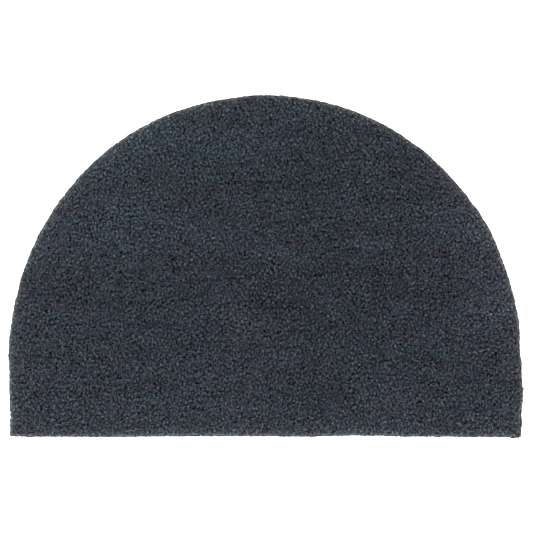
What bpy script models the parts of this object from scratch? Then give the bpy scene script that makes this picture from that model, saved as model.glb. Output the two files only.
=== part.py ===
"""Half-round coir doormat, lying flat.

Coir pile fused into a thin vinyl base and knife-cut in one piece, so it is one solid.
Metres, +Z up. The origin is on the surface the mat lies on, under the middle of its box.
+X runs along the straight edge, and +Y points from the straight edge to the round one.
"""

import math

import bmesh
import bpy
from mathutils import Vector, noise

# Driving sizes: a half circle on two short straight sides, 60 x 40 cm.
WIDTH = 0.600
SIDE_LENGTH = 0.100
ROUND_RADIUS = WIDTH / 2
CORNER_RADIUS = 0.0028
THICKNESS = 0.017
BASE_THICKNESS = 0.002

# The cut edge from the floor up. The vinyl is cut clean, the pile above it splays a little.
SECTION = (
    # height, drawn in from the pile's reach, share of the cut's unevenness
    (0.0, 0.0014, 0.6),
    (BASE_THICKNESS, 0.0014, 0.6),
    (BASE_THICKNESS + 0.0004, 0.0006, 0.9),
    (0.0085, 0.0, 1.0),
    (0.0142, 0.0006, 1.0),
    (0.0160, 0.0022, 0.7),
    (THICKNESS - 0.0005, 0.0060, 0.0),
)

# Where the knife strayed, by distance along the outline, counter-clockwise from the left
# end of the straight edge.
KNIFE_WANDER = (
    # distance, how far outside the true line
    (0.020, 0.0004),
    (0.120, 0.0006),
    (0.200, -0.0002),
    (0.290, -0.0002),
    (0.340, 0.0004),
    (0.400, -0.0009),
    (0.480, 0.0004),
    (0.580, 0.0007),
    (0.612, 0.0006),
    (0.646, 0.0025),
    (0.672, 0.0013),
    (0.700, -0.0011),
    (0.731, -0.0004),
    (0.794, -0.0018),
    (0.857, -0.0007),
    (0.915, -0.0015),
    (0.978, -0.0004),
    (1.072, 0.0001),
    (1.166, 0.0002),
    (1.229, -0.0008),
    (1.286, 0.0000),
    (1.349, -0.0003),
    (1.443, -0.0015),
    (1.569, -0.0016),
    (1.645, 0.0009),
    (1.672, -0.0002),
    (1.722, -0.0010),
)

# Tufts bulge at the rim, and the top of the pile is slightly lumpy.
RIM_BULGE = 0.0004
RIM_BULGE_LENGTH = 0.010
LUMP_HEIGHT = 0.0005
LUMP_LENGTH = 0.034
LUMP_FADE = 0.020
NOISE_REACH = 0.5

# How finely the shape is divided.
POINT_SPACING = 0.005
LUMP_GRID = 0.014
EDGE_STEPS = round(WIDTH / POINT_SPACING)
SIDE_STEPS = round(SIDE_LENGTH / POINT_SPACING)
ROUND_STEPS = round(math.pi * ROUND_RADIUS / POINT_SPACING)
CORNER_STEPS = 4
TIGHTEST_CORNER = 0.0006
MERGE_DISTANCE = 1e-6
SHARP_ANGLE = math.radians(50)

COIR_COLOUR = (0.033, 0.039, 0.050, 1.0)
COIR_ROUGHNESS = 0.95
BASE_COLOUR = (0.018, 0.018, 0.020, 1.0)
BASE_ROUGHNESS = 0.55


def clear_scene():
    """Empty the scene of whatever it starts with."""
    for obj in list(bpy.data.objects):
        bpy.data.objects.remove(obj, do_unlink=True)


def plain_material(name, colour, roughness):
    """A Principled material of one colour and roughness, with no metal in it."""
    material = bpy.data.materials.new(name)
    material.use_nodes = True
    shader = material.node_tree.nodes["Principled BSDF"]
    shader.inputs["Base Color"].default_value = colour
    shader.inputs["Roughness"].default_value = roughness
    shader.inputs["Metallic"].default_value = 0.0
    return material


def line(start, end, steps):
    """Points from start up to, but not at, end, each with the direction to its right."""
    start, end = Vector(start), Vector(end)
    along = (end - start).normalized()
    outward = Vector((along.y, -along.x))
    return [(start.lerp(end, i / steps), outward) for i in range(steps)]


def arc(centre, radius, first_degrees, last_degrees, steps):
    """Points round a centre up to, but not at, the last angle, each with its outward way."""
    points = []
    for i in range(steps):
        turn = first_degrees + (last_degrees - first_degrees) * i / steps
        outward = Vector((math.cos(math.radians(turn)), math.sin(math.radians(turn))))
        points.append((Vector(centre) + radius * outward, outward))
    return points


def true_outline(drawn_in):
    """The outline with no unevenness, drawn in all round, counter-clockwise from the left.

    The middle of the straight edge is at 0, 0. Each call gives as many points, in the same
    order, so that two outlines can be joined point to point.
    """
    half = WIDTH / 2 - drawn_in
    corner = max(CORNER_RADIUS - drawn_in, TIGHTEST_CORNER)
    low = drawn_in + corner
    right, left = half - corner, corner - half
    return (
        line((left, drawn_in), (right, drawn_in), EDGE_STEPS)
        + arc((right, low), corner, -90, 0, CORNER_STEPS)
        + line((half, low), (half, SIDE_LENGTH), SIDE_STEPS)
        + arc((0, SIDE_LENGTH), ROUND_RADIUS - drawn_in, 0, 180, ROUND_STEPS)
        + line((-half, SIDE_LENGTH), (-half, low), SIDE_STEPS)
        + arc((left, low), corner, 180, 270, CORNER_STEPS)
    )


def distances_along(points):
    """The distance from the first point to each point, and the length all the way round."""
    distances, travelled = [], 0.0
    for i, (point, _) in enumerate(points):
        distances.append(travelled)
        travelled += (points[(i + 1) % len(points)][0] - point).length
    return distances, travelled


def knife_wander(distance, length):
    """How far the cut lies outside the true line here, eased from row to row of the table."""
    rows = [(KNIFE_WANDER[-1][0] - length, KNIFE_WANDER[-1][1])]
    rows += KNIFE_WANDER
    rows += [(KNIFE_WANDER[0][0] + length, KNIFE_WANDER[0][1])]
    for (before, out), (after, next_out) in zip(rows, rows[1:]):
        if distance <= after:
            share = (distance - before) / (after - before)
            return out + (next_out - out) * (3 - 2 * share) * share**2
    return rows[-1][1]


def soft_noise(place, length):
    """Smooth noise, mostly between -1 and 1, that changes over this length."""
    return noise.noise(Vector(place) / length) / NOISE_REACH


def rim_bulge(point, height):
    """The tufts' bulge at a place on the rim."""
    return RIM_BULGE * soft_noise((point.x, point.y, height), RIM_BULGE_LENGTH)


def rim_ring(mesh, height, drawn_in, uneven_share):
    """One ring of corners round the edge, at one height of the section."""
    points = true_outline(drawn_in)
    distances, length = distances_along(true_outline(0.0))
    corners = []
    for (point, outward), distance in zip(points, distances):
        out = knife_wander(distance, length) + rim_bulge(point, height)
        place = point + outward * out * uneven_share
        corners.append(mesh.verts.new((place.x, place.y, height)))
    return corners


def join_rings(mesh, lower, upper):
    """Side faces between two rings of as many corners, facing out."""
    for i in range(len(lower)):
        after = (i + 1) % len(lower)
        mesh.faces.new((lower[i], lower[after], upper[after], upper[i]))


def cut_into_grid(mesh, top_face):
    """Divide the flat top along X and Y, so that it can be lumpy."""
    pieces = [top_face]
    depth = SIDE_LENGTH + ROUND_RADIUS
    across = [(Vector((1, 0, 0)), x) for x in grid_places(-WIDTH / 2, WIDTH / 2)]
    along = [(Vector((0, 1, 0)), y) for y in grid_places(0.0, depth)]
    for normal, place in across + along:
        edges = dict.fromkeys(edge for face in pieces for edge in face.edges)
        corners = dict.fromkeys(corner for face in pieces for corner in face.verts)
        cut = bmesh.ops.bisect_plane(
            mesh,
            geom=[*pieces, *edges, *corners],
            dist=MERGE_DISTANCE,
            plane_co=normal * place,
            plane_no=normal,
        )
        pieces = [item for item in cut["geom"] if isinstance(item, bmesh.types.BMFace)]
    return pieces


def grid_places(low, high):
    """Even places between two limits, clear of the drawn-in rim at both."""
    inner_low, inner_high = low + LUMP_GRID, high - LUMP_GRID
    steps = math.ceil((inner_high - inner_low) / LUMP_GRID)
    return [inner_low + (inner_high - inner_low) * i / steps for i in range(steps + 1)]


def room_to_rim(place):
    """How far a place on the top is from the true outline."""
    from_round = ROUND_RADIUS - math.hypot(place.x, max(place.y - SIDE_LENGTH, 0.0))
    return min(place.y, from_round)


def raise_lumps(faces):
    """Lift and lower the top's inner corners in soft lumps that fade out at the rim."""
    _, crown_drawn_in, _ = SECTION[-1]
    for corner in dict.fromkeys(corner for face in faces for corner in face.verts):
        fade = (room_to_rim(corner.co) - crown_drawn_in) / LUMP_FADE
        fade = min(max(fade, 0.0), 1.0)
        corner.co.z += LUMP_HEIGHT * fade * soft_noise(corner.co, LUMP_LENGTH)


def centre_on_box(mesh):
    """Move the mesh so that the middle of its box in plan is at 0, 0."""
    xs = [corner.co.x for corner in mesh.verts]
    ys = [corner.co.y for corner in mesh.verts]
    middle = Vector((min(xs) + max(xs), min(ys) + max(ys), 0.0)) / 2
    bmesh.ops.translate(mesh, verts=mesh.verts, vec=-middle)


def coir_mat():
    """The whole mat: vinyl base, splayed pile edge, round shoulder and lumpy top."""
    mesh = bmesh.new()
    rings = [rim_ring(mesh, *row) for row in SECTION]
    mesh.faces.new(reversed(rings[0]))
    for lower, upper in zip(rings, rings[1:]):
        join_rings(mesh, lower, upper)
    raise_lumps(cut_into_grid(mesh, mesh.faces.new(rings[-1])))
    centre_on_box(mesh)
    for face in mesh.faces:
        face.smooth = True
        in_base = face.calc_center_median().z < BASE_THICKNESS
        face.material_index = 1 if in_base else 0
    bmesh.ops.triangulate(mesh, faces=mesh.faces)
    data = bpy.data.meshes.new("coir_mat")
    mesh.to_mesh(data)
    mesh.free()
    data.materials.append(plain_material("coir", COIR_COLOUR, COIR_ROUGHNESS))
    data.materials.append(plain_material("vinyl_base", BASE_COLOUR, BASE_ROUGHNESS))
    data.set_sharp_from_angle(angle=SHARP_ANGLE)
    return bpy.data.objects.new("coir_mat", data)


def main():
    clear_scene()
    doormat = bpy.data.collections.new("half_round_doormat")
    bpy.context.scene.collection.children.link(doormat)
    doormat.objects.link(coir_mat())


main()
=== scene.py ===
"""Looks of the half-round coir doormat: a cut pile of dyed coir on a thin vinyl base.

The solid mat gives the outline and the lie of the top. The pile takes its place, built
strand by strand in metres: tufts in wandering rows that run like the straight edge, each of
a few locks, and each lock of a few fibres that rise, curl and droop. Upright strands follow
the whole cut edge, and a few locks stray past it. A core fills the pile between the tufts,
darkened by painted shade in its pits and towards its foot, and loose fibres and a few pale
strips of husk lie on top. Painted shade also darkens each fibre towards its root, the gaps
between clumps and the outermost strands of the cut edge, and painted light brightens the
coir just inside that edge.
"""

import math

import bpy
import numpy as np
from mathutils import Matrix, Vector
from mathutils.bvhtree import BVHTree
from mathutils.kdtree import KDTree


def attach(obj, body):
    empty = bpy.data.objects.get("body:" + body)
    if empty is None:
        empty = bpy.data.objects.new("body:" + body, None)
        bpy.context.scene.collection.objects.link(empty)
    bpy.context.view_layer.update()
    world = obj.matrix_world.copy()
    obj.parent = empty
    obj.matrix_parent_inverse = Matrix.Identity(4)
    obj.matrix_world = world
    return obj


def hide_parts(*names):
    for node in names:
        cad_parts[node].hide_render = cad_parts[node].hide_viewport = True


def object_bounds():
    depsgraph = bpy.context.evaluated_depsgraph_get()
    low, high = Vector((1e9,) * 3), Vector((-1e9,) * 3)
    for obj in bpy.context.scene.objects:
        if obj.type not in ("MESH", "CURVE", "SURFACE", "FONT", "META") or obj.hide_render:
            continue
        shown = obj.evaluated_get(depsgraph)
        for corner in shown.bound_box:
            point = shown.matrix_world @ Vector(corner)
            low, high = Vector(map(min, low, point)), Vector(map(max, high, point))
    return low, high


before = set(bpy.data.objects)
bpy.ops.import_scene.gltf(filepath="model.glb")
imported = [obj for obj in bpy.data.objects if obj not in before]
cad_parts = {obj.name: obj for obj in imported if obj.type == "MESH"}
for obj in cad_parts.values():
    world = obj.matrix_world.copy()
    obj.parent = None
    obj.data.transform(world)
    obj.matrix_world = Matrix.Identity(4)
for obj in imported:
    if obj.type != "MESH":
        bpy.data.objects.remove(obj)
CAD_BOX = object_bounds()
NODE = "coir_mat"
PILE_SEED, RIM_SEED, FRAY_SEED, LOOSE_SEED, CORE_SEED, DYE_SEED = range(11, 17)

# The mat's levels: the vinyl's top, and where the pile reaches furthest out. The outline is
# read at the second.
BASE_TOP = 0.0020
WIDEST_LEVEL = 0.0085
LEVEL_SLACK = 0.0002
OUTLINE_DIGITS = 6
OUTLINE_SPACING = 0.001

# The vinyl base, drawn in from the pile's reach, with its lower edge cut at a slant.
BASE_DRAWN_IN = 0.0016
BASE_SLANT = 0.0003
BASE_SPACING = 0.002

# The core that fills the lower pile. Its wall stands behind the strands of the cut edge, and
# it is darkened towards its foot by painted shade.
CORE_BELOW_TOP = 0.0034
CORE_LUMPS = 0.0005
CORE_SPACING = 0.0025
CORE_GRID = 0.005
CORE_WALL = (
    # height, drawn in from the rim
    (0.0020, 0.0016),
    (0.0060, 0.0004),
    (0.0085, 0.0000),
    (0.0115, 0.0003),
    (0.0130, 0.0014),
)
CORE_PAINTED_FOOT_SHADE = (0.3, 1.0)

# Tufts stand in rows along X. Each row is shifted by a share of a tuft's width, with a stray,
# the rows wander, and the tufts stray from them along X and Y.
TUFT_PITCH = 0.0071
ROW_PITCH = 0.0066
ROW_SHIFT = (0.5, 0.18)
ROW_STRAY = 0.0005
ROW_WANDER = 0.0055
ROW_WANDER_LENGTHS = (0.045, 0.045)
TUFT_STRAY = (0.0006, 0.0011)
FIRST_TUFT_DEPTH = 0.0018
TUFT_HEIGHT_STRAY = 0.0004
LOCKS_PER_TUFT = 3
FIBRES_PER_LOCK = 4
PILE_PIECES = 5

# A lock rises from its tuft, bends over, runs along the top and curls away, a little further
# along Y than along X. Each fibre stays inside the cut edge by a margin of its own.
LOCK_REACH = (0.0006, 0.0016)
LOCK_RUN = (0.0012, 0.0020)
LOCK_END = (0.0010, 0.0020)
LOCK_TURN_STRAY = 0.3
LOCK_CURL = (0.4, 1.8)
LOCK_HEIGHT_STRAY = 0.00035
LOCK_RISE = 0.0011
LOCK_DIP = 0.0009
LOCK_CROWN = 0.0002
NAP = (0.85, 1.15, 1.0)
SHOWN_LENGTH = 0.0042
HIGHEST_STRAY = 0.0008
TIP_MARGIN = (0.0, 0.0012)

# Fibres are three-sided. Each is thicker or thinner than the rest, and tapers along its points.
SIDES = 3
FIBRE_PITCH = (0.00045, 0.00095)
FIBRE_STRAY = 0.00022
FIBRE_RADIUS = 0.00041
FIBRE_THICKNESS = (0.75, 1.2)
FIBRE_TAPER = (1.0, 1.0, 0.8)

# Strands along the cut edge, whose whole height shows. They crowd towards its outside.
RIM_SPACING = 0.0018
RIM_FIBRES = 7
RIM_DEPTH = (-0.0003, 0.0032)
RIM_CROWDING = 1.4
RIM_SHOULDER = (
    # depth inside the edge, height of the strands there
    (0.0, 0.0120),
    (0.0006, 0.0142),
    (0.0022, 0.0160),
    (0.0060, 0.0167),
)
RIM_HEIGHT_STRAY = 0.0004
RIM_PATH = (
    # share of the height, drawn in, share of the drift, share of the run
    (0.0, 0.0012, 0.0, 0.0),
    (0.5, 0.0, 0.5, 0.0),
    (0.93, 0.0, 1.0, 0.0),
    (1.0, 0.0001, 1.0, 1.0),
)
RIM_DRIFT = 0.0005
RIM_RUN = (0.0008, 0.0032)
RIM_STRAY = (-0.0002, 0.0002)
RIM_ROOT_SUNK = 0.0004
RIM_THICKNESS = (0.7, 1.1)
RIM_TAPER = (1.0, 1.0, 0.7)

# Locks that stray past the cut: a tuft on the right side, and the frayed right corner.
FRAYS = (
    # x, y, spread of the roots, reach past the rim, fibres
    (0.3020, -0.1452, 0.0010, 0.0018, 16),
    (0.3010, -0.1843, 0.0010, 0.0012, 8),
    (0.2900, -0.2005, 0.0012, 0.0019, 30),
    (0.2845, -0.2005, 0.0008, 0.0010, 8),
    (0.2725, -0.2005, 0.0025, 0.0008, 14),
)
FRAY_PATH = (
    # inside the edge, share of the reach past it, share of the drift, share of the height
    (0.0030, 0.0, 0.0, 0.55),
    (0.0008, 0.0, 1.0, 0.85),
    (0.0, 0.6, 1.0, 1.0),
    (0.0, 1.0, 2.2, 0.97),
)
FRAY_HEIGHT = (0.45, 0.9)
FRAY_REACH = (0.3, 1.0)
FRAY_DRIFT = 0.0007
FRAY_THICKNESS = (0.6, 1.0)
FRAY_TAPER = (0.8, 1.0, 0.8)

# Thin fibres that lie loose on top. More are drawn than kept, as some would cross the edge.
LOOSE_FIBRES = 240
LOOSE_DRAWN = 4 * LOOSE_FIBRES
LOOSE_LENGTH = (0.004, 0.011)
LOOSE_CURVE = 0.5
LOOSE_POINTS = 5
LOOSE_RISE = (0.0001, 0.0007)
LOOSE_END_SUNK = 0.0012
LOOSE_RADIUS = 0.00016
LOOSE_THICKNESS = (0.7, 1.2)
LOOSE_TAPER = (1.0, 1.0, 1.0, 1.0)
LOOSE_SHADE_STRAY = (0.7, 1.3)
LOOSE_STRAW_SHARE = 0.25
LOOSE_PALE = (0.0, 0.5)

# Pale strips of husk, which take the place of the first loose fibres.
HUSKS = (
    # middle x, middle y, direction in degrees, length, shade
    (0.207, -0.161, -50, 0.0062, 1.8),
    (-0.177, 0.1325, 60, 0.0045, 1.7),
    (0.034, -0.104, 100, 0.0040, 1.1),
    (0.090, -0.170, 20, 0.0040, 1.3),
    (-0.277, -0.161, 45, 0.0045, 0.7),
)
HUSK_RADIUS = 0.00062
HUSK_RISE = 0.0014
HUSK_PALE = 1.6
HUSK_TONE = 0.8

# The photo's frame: its width at the pile's widest level, and where the mat's middle lies.
FRAME_WIDTH = 0.6264
MAT_MIDDLE = (-0.00107, 0.00037)
CAMERA_HEIGHT = 2.4
SENSOR_WIDTH = 36.0

# The dye: two greys that change over from place to place, stains, and undyed or worn coir.
TEAL = (0.0311, 0.0545, 0.0698)
PURPLE = (0.0398, 0.0443, 0.0654)
OLIVE = (0.032, 0.042, 0.026)
BLUE = (0.030, 0.046, 0.085)
STRAW = (0.075, 0.064, 0.050)
# The pale greys colour pale coir, and also the painted light just inside the cut edge.
PALE_WARM = (0.157, 0.152, 0.158)
PALE_TEAL = (0.129, 0.161, 0.180)

# Which grey is where: soft noise in patches and streaks, and the places that stand out.
TEAL_SHARE = 0.47
TEAL_LIMITS = (0.04, 0.96)
MIDDLE_TONE = 0.5
TONE_SOFTNESS = 0.6
TONE_PATCH_LENGTHS = (0.060, 0.026)
TONE_STREAK_LENGTHS = (0.250, 0.016)
TONE_STREAKS = 0.30
TEAL_SPOTS = (
    # middle x, middle y, reach along x, reach along y, tealer
    (-0.158, 0.034, 0.080, 0.006, 0.30),
    (0.008, 0.018, 0.024, 0.005, 0.80),
    (0.112, 0.026, 0.030, 0.005, 0.55),
    (0.180, 0.031, 0.030, 0.004, 0.40),
    (0.244, 0.032, 0.022, 0.006, 0.30),
    (0.208, 0.051, 0.022, 0.010, 0.15),
    (-0.150, -0.072, 0.065, 0.009, 0.20),
    (-0.165, 0.107, 0.090, 0.062, 0.52),
    (-0.040, 0.145, 0.110, 0.030, 0.65),
    (-0.062, 0.083, 0.035, 0.020, -0.50),
    (0.060, 0.080, 0.070, 0.045, 0.50),
    (0.185, 0.105, 0.035, 0.025, -0.40),
    (-0.197, 0.022, 0.040, 0.032, 0.45),
    (-0.242, -0.012, 0.028, 0.030, -0.30),
    (0.110, -0.012, 0.170, 0.032, -0.38),
    (-0.018, -0.075, 0.050, 0.055, -0.45),
    (-0.120, -0.105, 0.042, 0.060, 0.45),
    (-0.145, -0.045, 0.050, 0.030, 0.40),
    (0.245, -0.060, 0.045, 0.085, -0.38),
    (0.140, -0.137, 0.060, 0.022, -0.22),
    (0.000, -0.190, 0.320, 0.026, 0.12),
    (-0.260, -0.125, 0.030, 0.035, -0.30),
    (0.140, 0.145, 0.020, 0.015, 0.30),
    (-0.029, 0.020, 0.020, 0.020, -0.25),
    (-0.114, -0.172, 0.030, 0.014, 0.25),
    (0.005, -0.025, 0.022, 0.013, 0.45),
    (0.253, -0.051, 0.010, 0.009, 0.45),
    (0.128, -0.161, 0.011, 0.009, 0.30),
)

# How light the coir is: streaks, clouds, painted light that lightens it towards the cut edge,
# and the places that stand out.
DYE_SHADE = 0.91
STREAK_LENGTHS = (0.300, 0.030)
STREAK_SHADE = 0.24
CLOUD_LENGTHS = (0.080, 0.050)
CLOUD_SHADE = 0.08
RIM_PAINTED_LIGHTENING = 0.10
RIM_PAINTED_LIGHTENING_DEPTH = 0.018
LIGHT_SPOTS = (
    # middle x, middle y, reach along x, reach along y, lighter
    (-0.135, 0.100, 0.090, 0.060, 0.18),
    (-0.135, 0.110, 0.040, 0.016, -0.23),
    (-0.150, 0.150, 0.050, 0.030, 0.16),
    (-0.010, 0.150, 0.110, 0.020, 0.06),
    (-0.020, 0.146, 0.055, 0.008, 0.30),
    (-0.168, 0.068, 0.040, 0.012, 0.22),
    (-0.158, 0.034, 0.080, 0.006, 0.32),
    (0.008, 0.018, 0.024, 0.004, 0.80),
    (0.112, 0.026, 0.030, 0.004, 0.75),
    (0.180, 0.031, 0.030, 0.004, 0.25),
    (0.244, 0.032, 0.022, 0.006, 0.45),
    (0.208, 0.051, 0.022, 0.010, 0.25),
    (0.042, 0.114, 0.055, 0.022, -0.14),
    (0.094, -0.008, 0.115, 0.011, -0.20),
    (0.165, -0.034, 0.065, 0.007, -0.16),
    (-0.031, -0.063, 0.012, 0.009, 0.20),
    (0.010, 0.092, 0.150, 0.024, -0.12),
    (-0.060, 0.038, 0.220, 0.014, 0.05),
    (-0.020, -0.068, 0.250, 0.012, 0.06),
    (-0.205, 0.038, 0.040, 0.030, 0.08),
    (-0.035, -0.062, 0.034, 0.042, 0.30),
    (-0.135, -0.052, 0.050, 0.040, -0.08),
    (-0.076, -0.150, 0.170, 0.050, 0.22),
    (0.055, -0.137, 0.055, 0.025, -0.14),
    (0.155, -0.165, 0.060, 0.035, 0.28),
    (0.205, -0.075, 0.050, 0.035, 0.08),
    (0.228, 0.042, 0.035, 0.035, 0.14),
    (0.265, -0.040, 0.040, 0.070, 0.46),
    (0.268, -0.180, 0.050, 0.030, 0.30),
    (-0.260, -0.130, 0.045, 0.070, 0.13),
    (-0.029, 0.057, 0.022, 0.022, 0.24),
    (0.171, 0.110, 0.028, 0.016, -0.28),
    (0.140, 0.145, 0.020, 0.012, 0.12),
    (0.225, 0.075, 0.020, 0.014, -0.10),
    (-0.264, -0.102, 0.022, 0.016, -0.30),
    (-0.198, -0.067, 0.020, 0.014, -0.16),
    (-0.071, -0.102, 0.022, 0.016, 0.15),
    (0.098, -0.137, 0.020, 0.014, -0.15),
    (0.183, -0.084, 0.018, 0.020, 0.13),
    (-0.050, -0.172, 0.040, 0.014, 0.09),
    (0.005, -0.025, 0.022, 0.013, 0.30),
    (-0.215, -0.011, 0.028, 0.010, 0.14),
    (0.253, -0.051, 0.010, 0.009, 0.12),
    (0.128, -0.161, 0.011, 0.009, 0.15),
    (0.151, -0.098, 0.010, 0.008, 0.13),
    (0.019, -0.065, 0.003, 0.003, -0.80),
    (0.127, -0.057, 0.004, 0.003, -0.80),
)

# Stains that show as such.
STAIN_SPOTS = (
    # middle x, middle y, reach along x, reach along y, olive, or bluer where it is below 0
    (0.168, -0.008, 0.028, 0.009, 0.32),
    (-0.033, -0.060, 0.018, 0.012, 0.28),
    (-0.054, 0.017, 0.006, 0.004, 0.35),
    (-0.053, 0.095, 0.012, 0.008, 0.30),
    (0.059, -0.009, 0.010, 0.006, 0.30),
    (0.014, -0.062, 0.009, 0.007, 0.25),
    (0.192, -0.181, 0.010, 0.008, 0.25),
    (0.270, -0.140, 0.008, 0.008, 0.35),
    (-0.020, 0.146, 0.060, 0.010, -0.18),
    (-0.168, 0.068, 0.045, 0.014, -0.12),
    (-0.150, 0.133, 0.035, 0.010, -0.12),
    (-0.158, 0.034, 0.080, 0.010, -0.05),
    (-0.150, -0.072, 0.070, 0.010, -0.18),
    (0.208, 0.051, 0.024, 0.012, -0.16),
)

# The cut edge is warmer on the side that faces this way, and tealer opposite. Painted shade
# darkens its outermost strands, deepest on the warm side, over this depth.
WARM_SIDE = np.array((0.82, 0.57))
RIM_TONE_DEPTH = 0.0042
RIM_SHADOW = (0.08, 0.42)
RIM_SHADOW_DEPTH = 0.0021

# Painted light just inside the cut edge, where the splayed fibres catch the light: how much on
# the warm side and on the teal one, a wider and fainter spread, and the range from the
# outermost edge, left without it, to where it is full.
RIM_PAINTED_LIGHT = (0.45, 0.62)
RIM_PAINTED_LIGHT_DEPTH = 0.0044
RIM_WIDE_PAINTED_LIGHT = 0.19
RIM_DARK = (0.0, 0.0016)

# How tufts differ from their places, and fibres from their tufts.
TUFT_SHADE_STRAY = 0.05
FIBRE_SHADE_STRAY = 0.12
FIBRE_TONE_STRAY = 0.05
STAIN_STRAY = (0.7, 1.3)
# How much the painted light at the cut edge differs from fibre to fibre.
RIM_LIGHT_STRAY = (0.6, 1.4)
STRAW_SHARE = 0.003
STRAW_STRENGTH = (0.3, 0.8)
PALE_SHARE = 0.006
PALE_STRENGTH = (0.2, 0.9)

# Soft noise: how many waves it sums, how their lengths differ, and how far it spreads.
NOISE_WAVES = 24
WAVE_LENGTH_STRAY = 0.5
NOISE_SPREAD = 0.8

# Coir fibres: mottled in shade. Their clumps differ in shade, with painted shade in the gaps
# between them, and painted shade darkens the first part from the root.
# Edges are the part of a noise's range that its light and dark spread over, and a bump is
# given as its depth and its strength.
COIR_ROUGHNESS = 0.5
COIR_IOR = 1.62
FIBRE_GRAIN = 520.0
FIBRE_GRAIN_DETAIL = 1.0
GRAIN_EDGES = (0.38, 0.58)
FIBRE_MOTTLE = (0.05, 1.70)
FIBRE_GLOSS = (0.3, 0.85)
FIBRE_BUMP = (0.0004, 0.6)
CLUMP_GRAIN = 310.0
CLUMP_GRAIN_DETAIL = 0.0
CLUMP_EDGES = (0.33, 0.57)
CLUMP_SHADE = (0.45, 1.30)
ROOT_PART = (0.0, 0.6)
ROOT_TO_TIP_PAINTED_SHADE = (0.22, 1.0)
PALE_EVENNESS = 0.6
SHADE_EDGES = (0.10, 1.37)
SHADE_RANGE = (0.02, 1.74)

# Painted shade and sheen: the colour is tinted bluer where the coir is darker, and greyer,
# with the two greys more alike, where it is lighter.
PAINTED_SHADE_TINT = (0.81, 0.98, 1.23)
PAINTED_SHEEN_TINT = (1.12, 1.00, 0.885)
PAINTED_TINT_EDGES = (0.2, 1.8)
PAINTED_SHEEN_ALIKE = 0.45
TINT_BY_SHADE = 0.6

# The core: the same coir, with painted shade in the pits between its fibres.
CORE_ROUGHNESS = 0.7
CORE_GRAIN = 520.0
CORE_GRAIN_DETAIL = 2.0
PIT_EDGES = (0.42, 0.58)
CORE_PAINTED_PIT_SHADE = (0.03, 0.85)
CORE_GLOSS = (0.0, 0.6)
CORE_BUMP = (0.0015, 0.9)

# The vinyl: scuffs in its colour, and a pebbled grain.
VINYL_DARK = (0.014, 0.014, 0.016)
VINYL_LIGHT = (0.026, 0.026, 0.028)
VINYL_ROUGHNESS = 0.55
VINYL_SPECULAR = 0.4
VINYL_SCUFFS = 60.0
VINYL_SCUFF_DETAIL = 5.0
VINYL_PEBBLES = 700.0
VINYL_BUMP = (0.0003, 0.5)

# A Mix node's sockets by number: the share, then the two inputs and the result, which are
# others for colours than for plain values.
MIX_SHARE = 0
MIX_COLOURS, MIX_COLOUR_RESULT = (6, 7), 2
MIX_VALUES, MIX_VALUE_RESULT = (2, 3), 0

# The floor, the room's light and the lamp overhead.
WHITE = (1.0, 1.0, 1.0, 1.0)
FLOOR_SIZE = 8.0
FLOOR_COLOUR = (0.92, 0.92, 0.92, 1.0)
FLOOR_ROUGHNESS = 0.9
FLOOR_GLOW = 1.0
ROOM_LIGHT = 0.59
OVERHEAD_SIZE = 1.6
OVERHEAD_POWER = 36.0
OVERHEAD_PLACE = Vector((-0.35, 0.15, 1.9))


def smooth_step(share):
    """0 to 1, eased at both ends."""
    share = np.clip(share, 0.0, 1.0)
    return share * share * (3 - 2 * share)


def spots_at(places, spots):
    """The sum at each place of the last column of a table of soft spots."""
    total = np.zeros(len(places))
    for x, y, reach_x, reach_y, strength in spots:
        along, across = (places[:, 0] - x) / reach_x, (places[:, 1] - y) / reach_y
        total += strength * np.exp(-(along**2 + across**2))
    return total


class SoftNoise:
    """Smooth random values from 0 to 1, evenly spread, in patches of about this size."""

    def __init__(self, length_x, length_y, rng):
        turn = rng.uniform(0, 2 * math.pi, NOISE_WAVES)
        speed = rng.lognormal(0.0, WAVE_LENGTH_STRAY, NOISE_WAVES)
        self.phase = rng.uniform(0, 2 * math.pi, NOISE_WAVES)
        self.along_x = np.cos(turn) * speed / length_x
        self.along_y = np.sin(turn) * speed / length_y

    def at(self, places):
        """The value at each place."""
        turns = np.outer(places[:, 0], self.along_x) + np.outer(places[:, 1], self.along_y)
        value = np.cos(2 * math.pi * turns + self.phase).sum(1)
        return 0.5 + 0.5 * np.tanh(NOISE_SPREAD * value / math.sqrt(NOISE_WAVES / 2))


def unit(vectors):
    """The same directions with a length of 1."""
    return vectors / np.linalg.norm(vectors, axis=-1, keepdims=True)


def flat_direction(turn):
    """Level directions at these angles."""
    return np.stack([np.cos(turn), np.sin(turn), np.zeros_like(turn)], -1)


def cad_outline():
    """The solid mat's widest outline, counter-clockwise."""
    corners = np.array([corner.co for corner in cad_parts[NODE].data.vertices])
    ring = corners[np.abs(corners[:, 2] - WIDEST_LEVEL) < LEVEL_SLACK][:, :2]
    ring = np.unique(ring.round(OUTLINE_DIGITS), axis=0)
    return ring[np.argsort(np.arctan2(ring[:, 1], ring[:, 0]))]


def walked(ring, spacing):
    """Even places along a closed ring, with the outward direction at each."""
    closed = np.vstack([ring, ring[:1]])
    travelled = np.concatenate([[0], np.cumsum(np.linalg.norm(np.diff(closed, axis=0), axis=1))])
    count = round(travelled[-1] / spacing)
    at = np.arange(count) * travelled[-1] / count
    places = np.stack([np.interp(at, travelled, closed[:, i]) for i in (0, 1)], 1)
    ahead = np.roll(places, -1, axis=0) - np.roll(places, 1, axis=0)
    return places, unit(np.stack([ahead[:, 1], -ahead[:, 0]], 1))


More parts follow.
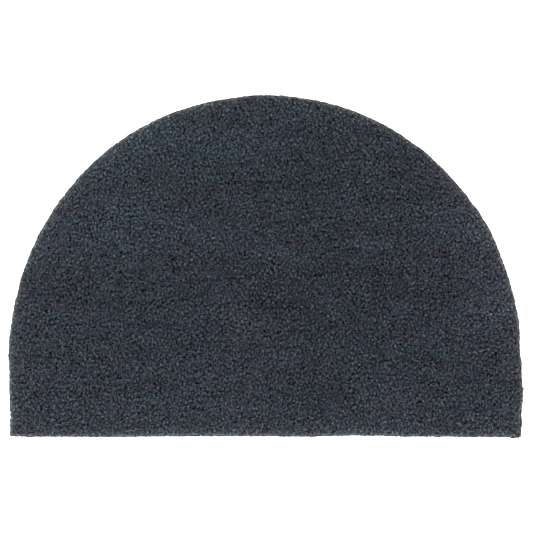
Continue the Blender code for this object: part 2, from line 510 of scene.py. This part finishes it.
class Rim:
    """The cut edge: how deep inside it a place lies, and which way is out there."""

    def __init__(self, ring):
        self.places, self.outward = walked(ring, OUTLINE_SPACING)
        self.tree = KDTree(len(self.places))
        for i, (x, y) in enumerate(self.places):
            self.tree.insert((x, y, 0), i)
        self.tree.balance()

    def depth(self, places):
        """Per place: how far it lies inside the edge, and the outward direction there."""
        nearest = np.array([self.tree.find((x, y, 0))[1] for x, y in places[:, :2]])
        away = self.places[nearest] - places[:, :2]
        outward = self.outward[nearest]
        return (away * outward).sum(1), outward


def teal_side(outward):
    """0 where the edge faces the warm side, and 1 where it faces away from it."""
    return 0.5 - 0.5 * outward @ WARM_SIDE


class Top:
    """The lie of the solid mat's top."""

    def __init__(self):
        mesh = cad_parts[NODE].data
        self.tree = BVHTree.FromPolygons(
            [corner.co for corner in mesh.vertices],
            [face.vertices for face in mesh.polygons],
        )

    def level(self, places):
        """The top's height over each place, or the widest level beyond the edge."""
        down, high = Vector((0, 0, -1)), 1.0
        hits = (self.tree.ray_cast(Vector((x, y, high)), down)[0] for x, y in places[:, :2])
        return np.array([WIDEST_LEVEL if hit is None else hit.z for hit in hits])


def triangle_mesh(name, corners, triangles):
    """A smooth-shaded mesh object from arrays of corners and triangles."""
    mesh = bpy.data.meshes.new(name)
    mesh.vertices.add(len(corners))
    mesh.vertices.foreach_set("co", corners.astype(np.float32).ravel())
    mesh.loops.add(triangles.size)
    mesh.loops.foreach_set("vertex_index", triangles.astype(np.int32).ravel())
    mesh.polygons.add(len(triangles))
    mesh.polygons.foreach_set("loop_start", np.arange(0, triangles.size, 3, dtype=np.int32))
    mesh.polygons.foreach_set("use_smooth", np.ones(len(triangles), bool))
    mesh.update(calc_edges=True)
    obj = bpy.data.objects.new(name, mesh)
    bpy.context.scene.collection.objects.link(obj)
    return obj


def fibre_triangles(rings):
    """Triangles of one fibre: from its pointed root, along its rings, and over its blunt tip."""
    triangles = [(0, side + 1, 1 + (side + 1) % SIDES) for side in range(SIDES)]
    for ring in range(rings - 1):
        for side in range(SIDES):
            a, b = 1 + ring * SIDES + side, 1 + ring * SIDES + (side + 1) % SIDES
            triangles += [(b, a, a + SIDES), (b, a + SIDES, b + SIDES)]
    tip = 1 + (rings - 1) * SIDES
    triangles.append((tip + 2, tip + 1, tip))
    return np.array(triangles)


def fibre_mesh(name, paths, radii, looks, rng):
    """Joined fibres, three-sided, each along its own path from root to tip.

    paths holds count x points x 3, and radii a radius for each point but the root. looks
    holds each fibre's shade, teal tone, straw tone, paleness and stain.
    """
    count, points = paths.shape[:2]
    rings = points - 1
    along = unit(np.gradient(paths, axis=1))[:, 1:]
    sideways = unit(rng.normal(size=(count, 1, 3)))
    across = unit(np.cross(along, sideways))
    upright = np.cross(along, across)
    corners = np.empty((count, rings * SIDES + 1, 3))
    corners[:, 0] = paths[:, 0]
    for side in range(SIDES):
        turn = 2 * math.pi * side / SIDES
        offset = math.cos(turn) * across + math.sin(turn) * upright
        corners[:, 1 + side :: SIDES] = paths[:, 1:] + radii[:, :, None] * offset
    own = corners.shape[1]
    triangles = fibre_triangles(rings)[None] + (np.arange(count) * own)[:, None, None]
    obj = triangle_mesh(name, corners.reshape(-1, 3), triangles.reshape(-1, 3))
    height = np.append(0.0, np.repeat(np.arange(1, points) / rings, SIDES))
    height = np.tile(height, count)
    shade, tone, straw, pale, stain = (np.repeat(look, own) for look in looks)
    store(obj, "fibre", (shade, tone, height))
    store(obj, "undyed_and_rim_light", (straw, pale, stain))
    return obj


def store(obj, name, values):
    """Three values for each corner, as an attribute of the mesh."""
    made = obj.data.attributes.new(name, "FLOAT_VECTOR", "POINT")
    made.data.foreach_set("vector", np.stack(values, 1).astype(np.float32).ravel())


class Dye:
    """The dye's two greys, its lighter and darker places, and painted shade and light at the
    edge.
    """

    def __init__(self, rim, rng):
        self.rim = rim
        self.patches = SoftNoise(*TONE_PATCH_LENGTHS, rng)
        self.streaks = SoftNoise(*STREAK_LENGTHS, rng)
        self.tone_streaks = SoftNoise(*TONE_STREAK_LENGTHS, rng)
        self.clouds = SoftNoise(*CLOUD_LENGTHS, rng)

    def at(self, places):
        """Each place's shade, painted light and shade at the edge included, and its tone from 0,
        purple, to 1, teal.
        """
        teal = TEAL_SHARE + spots_at(places, TEAL_SPOTS)
        teal += TONE_STREAKS * (self.tone_streaks.at(places) - 0.5)
        tealer = np.clip(teal, *TEAL_LIMITS) - self.patches.at(places)
        tone = smooth_step(MIDDLE_TONE + tealer / TONE_SOFTNESS)
        depth, outward = self.rim.depth(places)
        depth, side = np.maximum(depth, 0.0), teal_side(outward)
        tone += (side - tone) * np.exp(-((depth / RIM_TONE_DEPTH) ** 2))
        # Painted shade on the outermost strands of the cut edge, deepest on the warm side.
        darkest = np.interp(side, (0, 1), RIM_SHADOW)
        lit = darkest + (1 - darkest) * smooth_step(depth / RIM_SHADOW_DEPTH)
        shade = DYE_SHADE + spots_at(places, LIGHT_SPOTS)
        # Painted light: the coir is lighter towards the cut edge.
        shade += RIM_PAINTED_LIGHTENING * np.exp(-depth / RIM_PAINTED_LIGHTENING_DEPTH)
        shade += STREAK_SHADE * (self.streaks.at(places) - 0.5)
        shade += CLOUD_SHADE * (self.clouds.at(places) - 0.5)
        return shade * lit, tone


def rim_painted_light(rim, places):
    """Painted light just inside the cut edge, where the splayed fibres catch the light."""
    depth, outward = rim.depth(places)
    depth = np.maximum(depth, 0.0)
    painted_lightness = np.interp(teal_side(outward), (0, 1), RIM_PAINTED_LIGHT)
    painted_lightness *= np.exp(-((depth / RIM_PAINTED_LIGHT_DEPTH) ** 2))
    painted_lightness += RIM_WIDE_PAINTED_LIGHT * np.exp(-depth / RIM_PAINTED_LIGHTENING_DEPTH)
    dark, light = RIM_DARK
    return painted_lightness * smooth_step((depth - dark) / (light - dark))


def fibre_looks(places, tuft_shade, tuft_tone, rim, rng):
    """Shade, tone, straw, paleness and stain of fibres, from their tufts, places and chance."""
    count = len(places)
    shade = tuft_shade * rng.lognormal(0.0, FIBRE_SHADE_STRAY, count)
    tone = np.clip(tuft_tone + rng.normal(0, FIBRE_TONE_STRAY, count), 0, 1)
    straw = (rng.uniform(size=count) < STRAW_SHARE) * rng.uniform(*STRAW_STRENGTH, count)
    stain = spots_at(places, STAIN_SPOTS) * rng.uniform(*STAIN_STRAY, count)
    # Painted light just inside the cut edge, and then pale fibres.
    pale = rim_painted_light(rim, places) * rng.uniform(*RIM_LIGHT_STRAY, count)
    pale += (rng.uniform(size=count) < PALE_SHARE) * rng.uniform(*PALE_STRENGTH, count)
    return shade, tone, straw, np.clip(pale, 0, 1), np.clip(stain, -1, 1)


def tuft_places(rim, rng):
    """The middles of the tufts, which start a little inside the cut edge."""
    low, high = rim.places.min(0), rim.places.max(0)
    places, shift = [], 0.0
    for y in np.arange(low[1] - ROW_PITCH, high[1] + ROW_PITCH, ROW_PITCH):
        shift = (shift + TUFT_PITCH * rng.normal(*ROW_SHIFT)) % TUFT_PITCH
        x = np.arange(low[0] + shift, high[0], TUFT_PITCH)
        places.append(np.stack([x, np.full(len(x), y + rng.normal(0, ROW_STRAY))], 1))
    places = np.vstack(places)
    wander = SoftNoise(*ROW_WANDER_LENGTHS, rng)
    places[:, 1] += ROW_WANDER * (wander.at(places) - 0.5)
    places += rng.normal(0, TUFT_STRAY, places.shape)
    return places[rim.depth(places)[0] > FIRST_TUFT_DEPTH]


def kept_inside(paths, rim, margins):
    """The paths, with each point that lies past the rim brought back to its own margin."""
    flat = paths.reshape(-1, 3)
    depth, outward = rim.depth(flat)
    excess = np.maximum(np.repeat(margins, paths.shape[1]) - depth, 0.0)
    flat[:, :2] -= outward * excess[:, None]
    return flat.reshape(paths.shape)


def tapered(radius, thickness, taper, count, rng):
    """The radius at each point but the root, of fibres that differ in thickness."""
    return radius * rng.uniform(*thickness, (count, 1)) * np.array([taper])


def lock_paths(middle, turn, height, top, rng):
    """One path for each fibre of each lock, and the lock that it belongs to."""
    count = len(turn)
    curl = rng.choice((-1, 1), count) * rng.uniform(*LOCK_CURL, count)
    heading = turn + rng.normal(0, LOCK_TURN_STRAY, count)
    steps = (
        (turn, np.full(count, LOCK_REACH[0])),
        (turn, rng.uniform(*LOCK_REACH, count)),
        (heading, rng.uniform(*LOCK_RUN, count)),
        (heading + curl, rng.uniform(*LOCK_END, count)),
    )
    place = np.column_stack([middle, np.zeros(count)])
    line, sides = [], []
    for angle, length in steps:
        place = place + flat_direction(angle) * length[:, None] * NAP
        line.append(place)
        sides.append(flat_direction(angle + math.pi / 2))
    line, sides = np.stack(line, 1), np.stack(sides, 1)
    lift = top.level(line[:, 2]) + height
    line[:, :, 2] = lift[:, None] - np.array([SHOWN_LENGTH, LOCK_RISE, 0.0, LOCK_DIP])

    lock = np.repeat(np.arange(count), FIBRES_PER_LOCK)
    from_middle = np.tile(np.arange(FIBRES_PER_LOCK) - (FIBRES_PER_LOCK - 1) / 2, count)
    pitch = rng.uniform(*FIBRE_PITCH, count)[lock]
    paths = line[lock] + sides[lock] * (from_middle * pitch)[:, None, None]
    paths += rng.normal(0, FIBRE_STRAY, paths.shape)
    paths[:, 1:, 2] -= (LOCK_CROWN * np.abs(from_middle))[:, None]
    paths[:, :, 2] = np.minimum(paths[:, :, 2], (lift - height)[lock][:, None] + HIGHEST_STRAY)
    return paths, lock


def tuft_fibres(tufts, rim, top, rng):
    """Paths and radii of the fibres of these tufts, and the number of each one's tuft."""
    tuft = np.repeat(np.arange(len(tufts)), LOCKS_PER_TUFT)
    turn = rng.uniform(0, 2 * math.pi, len(tufts))[tuft]
    turn += np.tile(np.arange(LOCKS_PER_TUFT) * 2 * math.pi / LOCKS_PER_TUFT, len(tufts))
    height = rng.normal(0, TUFT_HEIGHT_STRAY, len(tufts))[tuft]
    height += rng.normal(0, LOCK_HEIGHT_STRAY, len(turn))
    paths, lock = lock_paths(tufts[tuft], turn, height, top, rng)
    count = len(paths)
    paths = kept_inside(paths, rim, rng.uniform(*TIP_MARGIN, count))
    radii = tapered(FIBRE_RADIUS, FIBRE_THICKNESS, FIBRE_TAPER, count, rng)
    return paths, radii, tuft[lock]


def pile(rim, top, dye):
    """The tufts inside the rim, in pieces of about as many fibres each."""
    rng = np.random.default_rng(PILE_SEED)
    tufts = tuft_places(rim, rng)
    tuft_shade, tuft_tone = dye.at(tufts)
    tuft_shade *= rng.lognormal(0, TUFT_SHADE_STRAY, len(tufts))
    order = np.argsort(tufts[:, 1], kind="stable")
    pieces = []
    for number, chosen in enumerate(np.array_split(order, PILE_PIECES), 1):
        paths, radii, owner = tuft_fibres(tufts[chosen], rim, top, rng)
        places = paths[:, -1, :2]
        looks = fibre_looks(places, tuft_shade[chosen][owner], tuft_tone[chosen][owner], rim, rng)
        pieces.append(fibre_mesh(f"coir_pile_{number}", paths, radii, looks, rng))
    return pieces


def rim_pile(rim, ring, dye):
    """Strands along the cut edge, from the vinyl up, following the edge's own section."""
    rng = np.random.default_rng(RIM_SEED)
    places, outward = walked(ring, RIM_SPACING)
    owner = np.repeat(np.arange(len(places)), RIM_FIBRES)
    count = len(owner)
    out = np.column_stack([outward, np.zeros(len(outward))])[owner]
    sideways = np.column_stack([-out[:, 1], out[:, 0], np.zeros(count)])
    edge = np.column_stack([places, np.zeros(len(places))])[owner]
    edge += sideways * rng.uniform(-0.5, 0.5, count)[:, None] * RIM_SPACING
    shallow, deep = RIM_DEPTH
    depth = shallow + (deep - shallow) * rng.uniform(size=count) ** RIM_CROWDING
    shoulder = np.interp(depth, *zip(*RIM_SHOULDER)) + rng.normal(0, RIM_HEIGHT_STRAY, count)
    drift = rng.normal(0, RIM_DRIFT, count)
    run = rng.choice((-1, 1), count) * rng.uniform(*RIM_RUN, count)
    paths = []
    for share, drawn_in, of_drift, of_run in RIM_PATH:
        inward = depth + drawn_in + rng.uniform(*RIM_STRAY, count) * share
        along = of_drift * drift + of_run * run
        step = edge - out * inward[:, None] + sideways * along[:, None]
        step[:, 2] = BASE_TOP - RIM_ROOT_SUNK + (shoulder - BASE_TOP) * share
        paths.append(step)
    paths = np.stack(paths, 1)
    radii = tapered(FIBRE_RADIUS, RIM_THICKNESS, RIM_TAPER, count, rng)
    tips = paths[:, -1, :2]
    shade, tone = dye.at(tips)
    looks = fibre_looks(tips, shade, tone, rim, rng)
    return fibre_mesh("coir_pile_rim", paths, radii, looks, rng)


def frayed_locks(rim, dye):
    """Locks that stray past the rim, at the places where the mat shows them."""
    rng = np.random.default_rng(FRAY_SEED)
    paths = []
    for x, y, spread, reach, count in FRAYS:
        place = np.array([[x, y]]) + rng.normal(0, spread, (count, 2))
        depth, outward = rim.depth(place)
        out = np.column_stack([outward, np.zeros(count)])
        edge = np.column_stack([place, np.zeros(count)]) + out * depth[:, None]
        side = np.column_stack([-out[:, 1], out[:, 0], np.zeros(count)])
        level = rng.uniform(*FRAY_HEIGHT, count) * (CAD_BOX[1].z - BASE_TOP) + BASE_TOP
        drift = side * rng.normal(0, FRAY_DRIFT, count)[:, None]
        far = rng.uniform(*FRAY_REACH, count)[:, None] * reach
        steps = []
        for inside, of_reach, of_drift, of_height in FRAY_PATH:
            step = edge + out * far * of_reach - out * inside + drift * of_drift
            step[:, 2] = level * of_height
            steps.append(step)
        paths.append(np.stack(steps, 1))
    paths = np.vstack(paths)
    count = len(paths)
    radii = tapered(FIBRE_RADIUS, FRAY_THICKNESS, FRAY_TAPER, count, rng)
    places = paths[:, -1, :2]
    shade, tone = dye.at(places)
    looks = fibre_looks(places, shade, tone, rim, rng)
    return fibre_mesh("coir_frayed_locks", paths, radii, looks, rng)


def loose_fibres(rim, top, dye):
    """Thin single fibres that lie curled on top of the pile, and a few pale strips of husk."""
    rng = np.random.default_rng(LOOSE_SEED)
    low, high = rim.places.min(0), rim.places.max(0)
    middle = rng.uniform(low, high, (LOOSE_DRAWN, 2))
    middle = middle[rim.depth(middle)[0] > LOOSE_LENGTH[1] / 2][:LOOSE_FIBRES]
    count = len(middle)
    turn = rng.uniform(0, 2 * math.pi, count)
    curve = rng.normal(0, LOOSE_CURVE, count)
    length = rng.uniform(*LOOSE_LENGTH, count)
    husk = slice(0, len(HUSKS))
    middle[husk] = [row[:2] for row in HUSKS]
    turn[husk] = [math.radians(row[2]) for row in HUSKS]
    length[husk] = [row[3] for row in HUSKS]
    points = []
    for share in np.linspace(-1, 1, LOOSE_POINTS):
        bend = turn + curve * share
        points.append(flat_direction(bend) * (share * length / 2)[:, None])
    paths = np.stack(points, 1)
    paths[:, :, :2] += middle[:, None]
    rise = rng.uniform(*LOOSE_RISE, (count, LOOSE_POINTS))
    rise[husk] = HUSK_RISE
    levels = top.level(paths.reshape(-1, 3)).reshape(count, LOOSE_POINTS)
    paths[:, :, 2] = levels + rise
    paths[:, 0, 2] -= LOOSE_END_SUNK
    radii = tapered(LOOSE_RADIUS, LOOSE_THICKNESS, LOOSE_TAPER, count, rng)
    radii[husk] = HUSK_RADIUS
    shade, tone = dye.at(middle)
    shade *= rng.uniform(*LOOSE_SHADE_STRAY, count)
    straw = (rng.uniform(size=count) < LOOSE_STRAW_SHARE) * rng.uniform(*STRAW_STRENGTH, count)
    pale = rng.uniform(*LOOSE_PALE, count) ** 2
    straw[husk], pale[husk], tone[husk] = 0.0, HUSK_PALE, HUSK_TONE
    shade[husk] = [row[4] for row in HUSKS]
    looks = shade, tone, straw, pale, np.zeros(count)
    return fibre_mesh("coir_loose_fibres", paths, radii, looks, rng)


def closed_loft(name, rings):
    """A closed mesh through rings of as many corners, from its foot to its top."""
    count = rings.shape[1]
    corners = np.vstack([rings.reshape(-1, 3), rings[0].mean(0), rings[-1].mean(0)])
    here = np.arange(count)
    after = np.roll(here, -1)
    foot = np.full(count, count * len(rings))
    triangles = [np.stack([after, here, foot], 1)]
    for number in range(len(rings) - 1):
        low, low_after = here + number * count, after + number * count
        triangles.append(np.stack([low, low_after, low_after + count], 1))
        triangles.append(np.stack([low, low_after + count, low + count], 1))
    last = count * (len(rings) - 1)
    triangles.append(np.stack([here + last, after + last, foot + 1], 1))
    return triangle_mesh(name, corners, np.vstack(triangles))


def ring_at(places, level):
    """A ring of corners at one level, or at a level of its own for each corner."""
    return np.column_stack([places, np.broadcast_to(level, len(places))])


def pile_core(rim, top, dye):
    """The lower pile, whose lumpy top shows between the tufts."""
    rng = np.random.default_rng(CORE_SEED)
    edge, outward = walked(rim.places, CORE_SPACING)
    rings = [ring_at(edge - outward * drawn_in, level) for level, drawn_in in CORE_WALL]
    shoulder = rings[-1][:, :2]
    middle = shoulder.mean(0)
    steps = round(np.ptp(shoulder[:, 1]) / 2 / CORE_GRID)
    for share in np.linspace(1, 0, steps, endpoint=False)[1:]:
        places = middle + share * (shoulder - middle)
        level = top.level(places) - CORE_BELOW_TOP + rng.normal(0, CORE_LUMPS, len(places))
        rings.append(ring_at(places, level))
    core = closed_loft("coir_core", np.stack(rings))
    places = np.array([corner.co for corner in core.data.vertices])
    shade, tone = dye.at(places)
    # Painted shade: the core darkens towards its foot.
    shade *= np.interp(places[:, 2], (BASE_TOP, WIDEST_LEVEL), CORE_PAINTED_FOOT_SHADE)
    # Painted light just inside the cut edge.
    pale = rim_painted_light(rim, places)
    store(core, "fibre", (shade, tone, np.ones(len(places))))
    store(core, "undyed_and_rim_light", (np.zeros(len(places)), pale, spots_at(places, STAIN_SPOTS)))
    return core


def vinyl_base(rim):
    """The vinyl that holds the roots: a thin sheet, cut a little inside the pile's reach."""
    section = (
        (0.0, BASE_DRAWN_IN + BASE_SLANT),
        (BASE_SLANT, BASE_DRAWN_IN),
        (BASE_TOP, BASE_DRAWN_IN),
    )
    places, outward = walked(rim.places, BASE_SPACING)
    rings = [ring_at(places - outward * drawn_in, level) for level, drawn_in in section]
    return closed_loft("vinyl_base", np.stack(rings))


def add_node(tree, kind, sockets=None, **settings):
    """A node with these settings. A socket takes a value, or a link from another node."""
    made = tree.nodes.new(kind)
    for name, value in settings.items():
        setattr(made, name, value)
    for key, value in (sockets or {}).items():
        if isinstance(value, bpy.types.NodeSocket):
            tree.links.new(value, made.inputs[key])
        else:
            made.inputs[key].default_value = value
    return made


def new_material(name, roughness, **uniform):
    """An empty Principled material: the material, its node tree and its shader."""
    material = bpy.data.materials.new(name)
    material.use_nodes = True
    tree = material.node_tree
    shader = tree.nodes["Principled BSDF"]
    shader.inputs["Roughness"].default_value = roughness
    for socket, value in uniform.items():
        shader.inputs[socket.replace("_", " ")].default_value = value
    return material, tree, shader


def math_node(tree, operation, first, second):
    """The result of one sum or product."""
    return add_node(tree, "ShaderNodeMath", {0: first, 1: second}, operation=operation).outputs[0]


def ramp(tree, value, low, high, to_low, to_high):
    """The value carried from one range to another, and held at its ends."""
    names = ("Value", "From Min", "From Max", "To Min", "To Max")
    sockets = dict(zip(names, (value, low, high, to_low, to_high)))
    return add_node(tree, "ShaderNodeMapRange", sockets).outputs[0]


def noise(tree, scale, detail):
    """Noise in the object's own space, this many waves a metre."""
    place = add_node(tree, "ShaderNodeTexCoord").outputs["Object"]
    sockets = {"Vector": place, "Scale": scale, "Detail": detail}
    return add_node(tree, "ShaderNodeTexNoise", sockets).outputs[0]


def mixed(tree, share, first, second):
    """A colour between two colours."""
    sockets = {MIX_SHARE: share}
    for socket, colour in zip(MIX_COLOURS, (first, second)):
        is_plain = isinstance(colour, tuple)
        sockets[socket] = (*colour, 1.0) if is_plain else colour
    return add_node(tree, "ShaderNodeMix", sockets, data_type="RGBA").outputs[MIX_COLOUR_RESULT]


def add_bump(tree, shader, height, depth, strength):
    """Small relief from a height, this deep at its full range."""
    sockets = {"Height": height, "Distance": depth, "Strength": strength}
    bump = add_node(tree, "ShaderNodeBump", sockets)
    tree.links.new(bump.outputs[0], shader.inputs["Normal"])


def scaled(tree, colour, factor):
    """The colour made lighter or darker."""
    sockets = {0: colour, "Scale": factor}
    return add_node(tree, "ShaderNodeVectorMath", sockets, operation="SCALE").outputs[0]


def stored(tree, name):
    """The three values that the mesh stores under this name."""
    made = add_node(tree, "ShaderNodeAttribute", attribute_name=name)
    return add_node(tree, "ShaderNodeSeparateXYZ", {0: made.outputs["Vector"]}).outputs


def eased(tree, value, towards, share):
    """The value, brought nearer to another by this share."""
    sockets = {MIX_SHARE: share, **dict(zip(MIX_VALUES, (value, towards)))}
    return add_node(tree, "ShaderNodeMix", sockets, data_type="FLOAT").outputs[MIX_VALUE_RESULT]


def coir_colour(tree, brightness):
    """The coir's colour at this brightness.

    The dye lies between two greys, tuft by tuft. As painted shade it is tinted bluer where it
    is darker, and as a painted sheen greyer, with the two more alike, where it is lighter.
    Stains and undyed fibres break it up, and pale fibres and the painted light at the cut edge
    show paler.
    """
    shade, tone, _ = stored(tree, "fibre")
    straw, pale, stain = stored(tree, "undyed_and_rim_light")
    level = math_node(tree, "MULTIPLY", brightness, eased(tree, shade, 1.0, 1 - TINT_BY_SHADE))
    # Painted shade and sheen: the tint is bluer where the coir is darker, greyer where lighter.
    painted_lightness = ramp(tree, level, *PAINTED_TINT_EDGES, 0.0, 1.0)
    alike = math_node(tree, "MULTIPLY", painted_lightness, PAINTED_SHEEN_ALIKE)
    colour = mixed(tree, eased(tree, tone, MIDDLE_TONE, alike), PURPLE, TEAL)
    colour = mixed(tree, stain, colour, OLIVE)
    colour = mixed(tree, math_node(tree, "MULTIPLY", stain, -1.0), colour, BLUE)
    colour = mixed(tree, straw, colour, STRAW)
    sockets = {0: colour, 1: mixed(tree, painted_lightness, PAINTED_SHADE_TINT, PAINTED_SHEEN_TINT)}
    colour = add_node(tree, "ShaderNodeVectorMath", sockets, operation="MULTIPLY").outputs[0]
    colour = mixed(tree, pale, colour, mixed(tree, tone, PALE_WARM, PALE_TEAL))
    return scaled(tree, colour, math_node(tree, "MULTIPLY", shade, brightness))


def coir_material():
    """Fibres of dyed coir, each a little mottled, with painted shade towards its root and in the
    gaps between clumps.
    """
    material, tree, shader = new_material("dyed_coir", COIR_ROUGHNESS, IOR=COIR_IOR)
    _, _, along = stored(tree, "fibre")
    _, pale, _ = stored(tree, "undyed_and_rim_light")
    grain = noise(tree, FIBRE_GRAIN, FIBRE_GRAIN_DETAIL)
    mottle = ramp(tree, grain, *GRAIN_EDGES, *FIBRE_MOTTLE)
    brightness = eased(tree, mottle, 1.0, math_node(tree, "MULTIPLY", pale, PALE_EVENNESS))
    clumps = noise(tree, CLUMP_GRAIN, CLUMP_GRAIN_DETAIL)
    clump_shade = ramp(tree, clumps, *CLUMP_EDGES, *CLUMP_SHADE)
    # Painted shade in the gaps between clumps and over the first part from the root.
    for shade in (clump_shade, ramp(tree, along, *ROOT_PART, *ROOT_TO_TIP_PAINTED_SHADE)):
        brightness = math_node(tree, "MULTIPLY", brightness, shade)
    brightness = ramp(tree, brightness, *SHADE_EDGES, *SHADE_RANGE)
    tree.links.new(coir_colour(tree, brightness), shader.inputs["Base Color"])
    gloss = ramp(tree, grain, *GRAIN_EDGES, *FIBRE_GLOSS)
    tree.links.new(gloss, shader.inputs["Specular IOR Level"])
    add_bump(tree, shader, grain, *FIBRE_BUMP)
    return material


def core_material():
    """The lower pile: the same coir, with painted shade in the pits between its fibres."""
    material, tree, shader = new_material("coir_roots", CORE_ROUGHNESS)
    _, pale, _ = stored(tree, "undyed_and_rim_light")
    grain = noise(tree, CORE_GRAIN, CORE_GRAIN_DETAIL)
    # Painted shade in the pits between the fibres.
    pit_shade = ramp(tree, grain, *PIT_EDGES, *CORE_PAINTED_PIT_SHADE)
    brightness = eased(tree, pit_shade, 1.0, math_node(tree, "MULTIPLY", pale, PALE_EVENNESS))
    tree.links.new(coir_colour(tree, brightness), shader.inputs["Base Color"])
    gloss = ramp(tree, grain, *PIT_EDGES, *CORE_GLOSS)
    tree.links.new(gloss, shader.inputs["Specular IOR Level"])
    add_bump(tree, shader, grain, *CORE_BUMP)
    return material


def vinyl_material():
    """Charcoal vinyl with a fine pebbled grain and faint scuffs."""
    material, tree, shader = new_material(
        "charcoal_vinyl", VINYL_ROUGHNESS, Specular_IOR_Level=VINYL_SPECULAR
    )
    place = add_node(tree, "ShaderNodeTexCoord").outputs["Object"]
    cells = {"Vector": place, "Scale": VINYL_PEBBLES}
    pebbles = add_node(tree, "ShaderNodeTexVoronoi", cells).outputs["Distance"]
    scuffs = noise(tree, VINYL_SCUFFS, VINYL_SCUFF_DETAIL)
    tree.links.new(mixed(tree, scuffs, VINYL_DARK, VINYL_LIGHT), shader.inputs["Base Color"])
    add_bump(tree, shader, pebbles, *VINYL_BUMP)
    return material


def floor():
    """A plain pale floor, bright enough to be paper white."""
    bpy.ops.mesh.primitive_plane_add(size=FLOOR_SIZE)
    plane = bpy.context.object
    plane.name = "floor"
    material, _, shader = new_material("white_floor", FLOOR_ROUGHNESS, Specular_IOR_Level=0.0)
    shader.inputs["Base Color"].default_value = FLOOR_COLOUR
    shader.inputs["Emission Color"].default_value = WHITE
    shader.inputs["Emission Strength"].default_value = FLOOR_GLOW
    plane.data.materials.append(material)


def lights():
    """A white room, and a wide soft light overhead and a little to the left."""
    world = bpy.data.worlds.new("white_room")
    world.use_nodes = True
    background = world.node_tree.nodes["Background"]
    background.inputs["Color"].default_value = WHITE
    background.inputs["Strength"].default_value = ROOM_LIGHT
    bpy.context.scene.world = world
    data = bpy.data.lights.new("overhead", "AREA")
    data.shape = "DISK"
    data.size = OVERHEAD_SIZE
    data.energy = OVERHEAD_POWER
    lamp = bpy.data.objects.new("overhead", data)
    bpy.context.scene.collection.objects.link(lamp)
    lamp.location = OVERHEAD_PLACE
    lamp.rotation_euler = (-lamp.location).to_track_quat("-Z", "Y").to_euler()


def camera():
    """Straight above the mat, with the mat's middle where the photo has it."""
    data = bpy.data.cameras.new("camera")
    data.sensor_width = SENSOR_WIDTH
    data.lens = SENSOR_WIDTH * CAMERA_HEIGHT / FRAME_WIDTH
    seen_from = bpy.data.objects.new("camera", data)
    bpy.context.scene.collection.objects.link(seen_from)
    seen_from.location = (-MAT_MIDDLE[0], -MAT_MIDDLE[1], WIDEST_LEVEL + CAMERA_HEIGHT)
    bpy.context.scene.camera = seen_from
    bpy.context.scene.view_settings.view_transform = "Standard"


def main():
    ring = cad_outline()
    rim, top = Rim(ring), Top()
    dye = Dye(rim, np.random.default_rng(DYE_SEED))
    strands = [*pile(rim, top, dye), rim_pile(rim, ring, dye), frayed_locks(rim, dye)]
    strands.append(loose_fibres(rim, top, dye))
    core, base = pile_core(rim, top, dye), vinyl_base(rim)
    coir = coir_material()
    for piece in strands:
        piece.data.materials.append(coir)
    core.data.materials.append(core_material())
    base.data.materials.append(vinyl_material())
    for piece in (*strands, core, base):
        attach(piece, "root")
        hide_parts(NODE)
    floor()
    lights()
    camera()


main()
